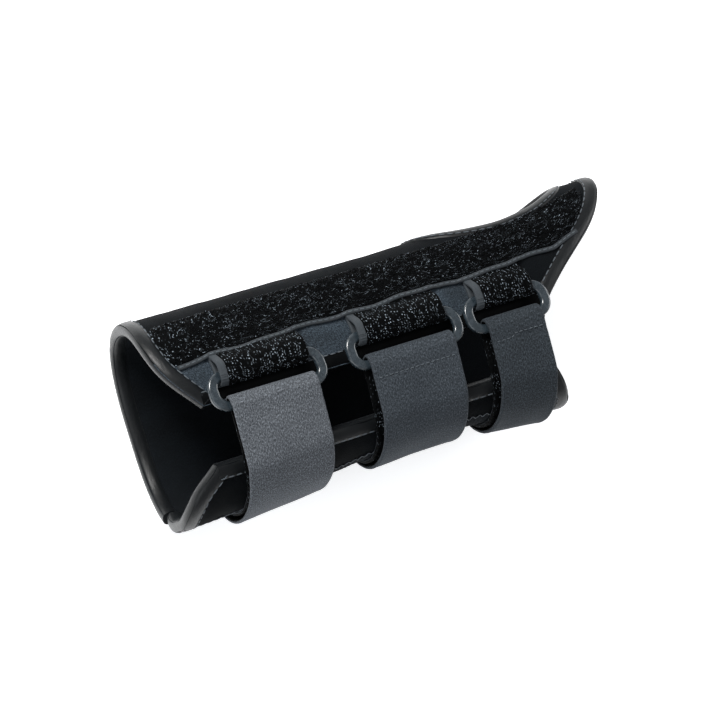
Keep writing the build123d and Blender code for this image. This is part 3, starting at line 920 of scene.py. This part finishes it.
# ---------------------------------------------------------------- rings' tabs and the straps
def bar_z(span, x, rise):
    """Height of a ring's bar, which is straight across the strap, over the body's top."""
    start, end = (float(skin(s, 90.0)[2]) for s in span)
    return start + (end - start) * (x - span[0]) / (span[1] - span[0]) + rise


def across_stations(span, count, edge=0.9):
    """x over a strap's width, closer at its edges, and how full the strap is there."""
    width = span[1] - span[0]
    near = np.array([0.0, 0.12, 0.35, 0.8]) * edge
    inside = np.linspace(edge, width - edge, count)
    offsets = np.concatenate([near, inside, width - near[::-1]])
    depth = np.clip(np.minimum(offsets, width - offsets) / edge, 0, 1)
    full = np.sqrt(np.clip(1 - (1 - depth) ** 2, 0, 1)) * 0.75 + 0.25
    return span[0] + offsets, full


def strip(name, span, path_at, thick, materials, count=24, relief=None, ends=(True, True)):
    """Strap that follows a path of (y, z) points, worked out at each x across its width.

    ends says which ends of it are rounded off."""
    xs, full = across_stations(span, count)
    outer, inner = [], []
    for x, share in zip(xs, full):
        path = path_at(x)
        ahead = unit(np.gradient(path, axis=0))
        normal = np.stack([-ahead[:, 1], ahead[:, 0]], -1)
        lengths = arc_lengths(path, 0)
        before = lengths if ends[0] else 9.0
        after = lengths[-1] - lengths if ends[1] else 9.0
        near_end = 1 - np.clip(np.minimum(before, after) / 0.8, 0, 1)
        taper = 0.3 + 0.7 * np.sqrt(np.clip(1 - near_end ** 2, 0, 1))
        half = np.full(len(path), thick / 2 * share) * taper
        lift = np.zeros(len(path)) if relief is None else relief(x, lengths)
        up = path + normal * (half + lift)[:, None]
        down = path - normal * (half - lift * 0.4)[:, None]
        outer.append(np.column_stack([np.full(len(path), x), up]))
        inner.append(np.column_stack([np.full(len(path), x), down]))
    return sheet_piece(name, np.array(outer), np.array(inner), materials)


def tab(number, span):
    """Ring tab: folded round the ring's upper bar, its two layers sewn under the field."""
    def path_at(x):
        centre = np.array([BAR_Y_UPPER, bar_z(span, x, BAR_RISE_UPPER)])
        turn = np.radians(np.linspace(262, 84, 22))
        radius = 3.05
        bend = centre + radius * np.stack([np.cos(turn), np.sin(turn)], -1)
        root_z = float(skin(x, float(y_angle(x, TAB_ROOT_Y)))[2])
        far_z = float(skin(x, float(y_angle(x, TAB_ROOT_Y + 2.5)))[2])
        low = [(TAB_ROOT_Y + 1.5, root_z + 0.3), (14.4, root_z + 1.6)]
        high = [
            (13.6, centre[1] + 2.3), (TAB_ROOT_Y - 0.6, root_z + 1.9), (TAB_ROOT_Y + 1.6, far_z + 1.0)
        ]
        return smooth_path(np.concatenate([low, bend, high]), 110)

    def relief(x, lengths):
        ribs = np.sin(lengths * 2 * math.pi / 1.9) * 0.10
        return ribs + rng.uniform(0, 0.32, len(lengths)) + 0.12 * waves(x, lengths, 9, 80 + number)

    def weave(x, lengths):
        return 0.06 * np.sin(lengths * 2 * math.pi / 0.9)

    pile_span, selvage_span = (span[0] + 2.4, span[1]), (span[0] - 0.4, span[0] + 2.9)
    pile = strip(f"tab_{number}", pile_span, path_at, 1.35, [TAB_PILE, FABRIC], 66, relief)
    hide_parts(f"ring_tab_{number}")
    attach(pile, ROOT)
    edge_name = f"tab_{number}_selvage"
    edge = strip(edge_name, selvage_span, path_at, 1.5, [SELVAGE, SELVAGE], 6, weave)
    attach(edge, ROOT)


def anchor_lift(angle):
    """Height of the sewn run over the body."""
    return ANCHOR_LIFT + ANCHOR_BOW * ease((160 - angle) / 16)


def pull_lift(angle):
    """Height of the folded-back run over the body."""
    return PULL_LIFT + PULL_BOW * (1 - ease((angle - 100) / 70))


def anchor_run(number, span):
    """Sewn run of the strap, pile outwards, up to the underside of the ring's bar."""
    wide = (span[0] + 1.0, span[1] + 0.2) if number == 1 else (span[0] - 0.9, span[1] - 0.4)

    def path_at(x):
        angles = np.linspace(ANCHOR_ANGLE, 112, 30)
        surface = skin(x, angles, anchor_lift(angles) + STRAP_THICK / 2)[:, 1:]
        bar = np.array([BAR_Y_LOWER, bar_z(span, x, BAR_RISE_LOWER) - FOLD_RADIUS - STRAP_THICK / 2])
        beyond = [bar + (-3.0, -0.35), bar, bar + (1.2, 0.1)]
        return smooth_path(np.concatenate([surface, beyond]), 200)

    def relief(x, lengths):
        return rng.uniform(0, 0.4, len(lengths)) - 0.1

    faces = [RUN_PILE, STRAPS[number - 1]]
    piece = strip(f"sewn_run_{number}", wide, path_at, STRAP_THICK, faces, 60, relief)
    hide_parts(f"strap_anchor_run_{number}")
    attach(piece, ROOT)


def fold(number, span):
    """The strap's turn round the ring's lower bar."""
    radius = FOLD_RADIUS + STRAP_THICK / 2

    def path_at(x):
        centre = np.array([BAR_Y_LOWER, bar_z(span, x, BAR_RISE_LOWER)])
        turn = np.radians(np.linspace(-90, 90, 36))
        return (centre + radius * np.stack([np.cos(turn), np.sin(turn)], -1))[::-1]

    name, faces = f"strap_fold_{number}", [STRAPS[number - 1], RUN_PILE]
    piece = strip(name, span, path_at, STRAP_THICK, faces, 30, ends=(False, False))
    middle = (span[0] + span[1]) / 2
    slope = (bar_z(span, span[1], 0) - bar_z(span, span[0], 0)) / (span[1] - span[0])
    bar = (middle, BAR_Y_LOWER, bar_z(span, middle, BAR_RISE_LOWER))
    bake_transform(piece)


BARTACK_FROM_FOLD = 6.4


def pull_path(span):
    """Path of the folded-back run, from the top of the bar to the tail."""
    def path_at(x):
        centre = np.array([BAR_Y_LOWER, bar_z(span, x, BAR_RISE_LOWER)])
        radius = FOLD_RADIUS + STRAP_THICK / 2
        top = [centre + (0.0, radius), centre + (-2.2, radius + 0.05)]
        angles = np.concatenate([np.arange(118, 200, 9), np.linspace(205, TAIL_ANGLE, 4)])
        lift = pull_lift(angles) + STRAP_THICK / 2 - 0.5 * ease((150 - angles) / 40)
        surface = skin(x, angles, lift)[:, 1:]
        return smooth_path(np.concatenate([top, surface]), 190)[::-1]
    return path_at


def pull_run(number, span):
    """Folded-back run: grey face out, with a stitched line below the fold on straps 2 and 3, and a
    hook patch by the tail.
    """
    path_at = pull_path(span)

    def relief(x, lengths):
        crease = -0.28 * np.exp(-((lengths[-1] - lengths - BARTACK_FROM_FOLD) / 0.7) ** 2)
        edge = min(x - span[0], span[1] - x)
        piping = 0.10 * math.exp(-((edge - 1.0) / 0.7) ** 2)
        return crease + piping + 0.22 * waves(x, lengths, 26, 90 + number)

    name, faces = f"strap_{number}_outer", [STRAPS[number - 1], RUN_PILE]
    piece = strip(name, span, path_at, STRAP_THICK, faces, 44, relief, (True, False))
    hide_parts(f"strap_pull_run_{number}")
    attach(piece, f"strap_{number}")
    if number > 1:
        bar_stitches(number, span, path_at)

    def hook_path(x):
        angles = np.linspace(200, 228, 24)
        return skin(x, angles, 2.5)[:, 1:]

    def hooks(x, lengths):
        return 0.16 * np.sin(lengths * 2 * math.pi / 1.2) * math.sin(x * 2 * math.pi / 1.2)

    hook_span = (span[0] + 2, span[1] - 2)
    patch = strip(f"strap_{number}_hooks", hook_span, hook_path, 0.8, [HOOK, HOOK], 40, hooks)
    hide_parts(f"hook_patch_{number}")
    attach(patch, f"strap_{number}")


def bar_stitches(number, span, path_at):
    """Row sewn across the strap just below its fold."""
    xs = np.linspace(span[0] + 1.4, span[1] - 1.4, 40)
    rows, ups = [], []
    for x in xs:
        path = path_at(x)
        lengths = arc_lengths(path, 0)
        spot = int(np.searchsorted(lengths, lengths[-1] - BARTACK_FROM_FOLD))
        ahead = unit(path[spot + 1] - path[spot])
        normal = np.array([-ahead[1], ahead[0]])
        if normal[1] < 0:
            normal = -normal
        rows.append((x, *(path[spot] + normal * (STRAP_THICK / 2 - 0.1))))
        ups.append((0, *normal))
    body = f"strap_{number}"
    stitch_row(body + "_bartack", np.array(rows), np.array(ups), body, 1.5, 0.7, 0.18)


for strap_number, strap_span in enumerate(STRAP_SPANS, start=1):
    tab(strap_number, strap_span)
    anchor_run(strap_number, strap_span)
    fold(strap_number, strap_span)
    pull_run(strap_number, strap_span)


# ---------------------------------------------------------------- seams and the palm sleeve
ZIGZAG = {"length": 1.2, "gap": 0.3, "radius": 0.2, "lift": 0.06, "swing": 0.9}
THUMB_SEAM_CLEARANCE = 6.0


def seam_line(border, first, last, lift=0.35):
    """Path and normals along a border between two plan lines."""
    x, angle = region(150, 2, first, last, border, border)
    x, angle = x[:, 0], angle[:, 0]
    normal = skin_normal(x, angle)
    return skin(x, angle) + normal * lift, normal


for seam_name, seam_border in (("gusset_seam", gusset_top), ("ulnar_side_seam", seam_ulnar)):
    seam_path, seam_up = seam_line(seam_border, ulnar_start, ulnar_end)
    stitch_row(seam_name, seam_path, seam_up, ROOT, **ZIGZAG)

# The thumb side's seam stops at the thumb opening and goes on behind it
seam_path, seam_up = seam_line(seam_thumb, radial_start, radial_end)
in_opening = in_thumb_opening(seam_path[:, 0], seam_path[:, 2], THUMB_SEAM_CLEARANCE)
for seam_name, part in (
    ("thumb_side_seam", slice(2, int(np.argmax(in_opening)))),
    ("web_seam", slice(-4, None)),
):
    stitch_row(seam_name, seam_path[part], seam_up[part], ROOT, **ZIGZAG)


def palm_sleeve():
    """Sleeve of the palm stay: a cloth channel whose flat underside the splint rests on."""
    xs = np.linspace(SLEEVE_X[0], SLEEVE_X[1], 130)
    outer, inner = [], []
    for x in xs:
        end = ease((SLEEVE_X[1] - x) / 7.0)
        mouth = ease((x - SLEEVE_X[0]) / 4.0)
        half = SLEEVE_HALF - 2.5 * (1 - end) ** 2
        side_z = float(skin(x, 270.0)[2]) + 3.0
        underside = (1 - end) * 3.0
        curve = smooth_path([
            (-half - 0.6, side_z + 0.5), (-half, side_z - 1.6),
            (-half + 1.2, underside + 0.9), (-half + 3.6, underside),
            (-8, underside), (0, underside), (8, underside),
            (half - 3.6, underside), (half - 1.2, underside + 0.9),
            (half, side_z - 1.6), (half + 0.6, side_z + 0.5),
        ], 90)
        curve[:, 1] = np.maximum(curve[:, 1], underside)
        ahead = unit(np.gradient(curve, axis=0))
        normal = np.stack([ahead[:, 1], -ahead[:, 0]], -1)
        thick = 0.8 + 0.1 * (1 - mouth)
        outer.append(np.column_stack([np.full(len(curve), x), curve]))
        inner.append(np.column_stack([np.full(len(curve), x), curve - normal * thick]))
    piece = sheet_piece("stay_sleeve", np.array(outer), np.array(inner), [FABRIC, LINING])
    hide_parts("palmar_stay_pocket")
    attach(piece, ROOT)
    xs = np.linspace(SLEEVE_X[0] + 1, SLEEVE_X[1] - 2, 90)
    z = skin(xs, 270.0)[:, 2] + 1.0
    for letter, side in (("a", -1), ("b", 1)):
        path = np.stack([xs, np.full_like(xs, side * (SLEEVE_HALF + 0.15)), z], -1)
        ups = np.tile([0.0, side * 0.96, -0.28], (len(xs), 1))
        stitch_row(f"sleeve_stitches_{letter}", path, ups, ROOT, 2.2, 0.9, 0.22)


palm_sleeve()


# ---------------------------------------------------------------- floor
bpy.ops.mesh.primitive_plane_add(size=6.0, location=(0, 0, -0.0002))
floor = bpy.context.active_object
floor.name = "floor"
paper = bpy.data.materials.new("paper")
paper.use_nodes = True
paper_inputs = paper.node_tree.nodes["Principled BSDF"].inputs
paper_inputs["Base Color"].default_value = (0.86, 0.87, 0.88, 1)
paper_inputs["Roughness"].default_value = 0.9
paper_inputs["Emission Color"].default_value = (1, 1, 1, 1)
paper_inputs["Emission Strength"].default_value = 0.6
floor.data.materials.append(paper)

bpy.context.scene.view_settings.view_transform = "Standard"
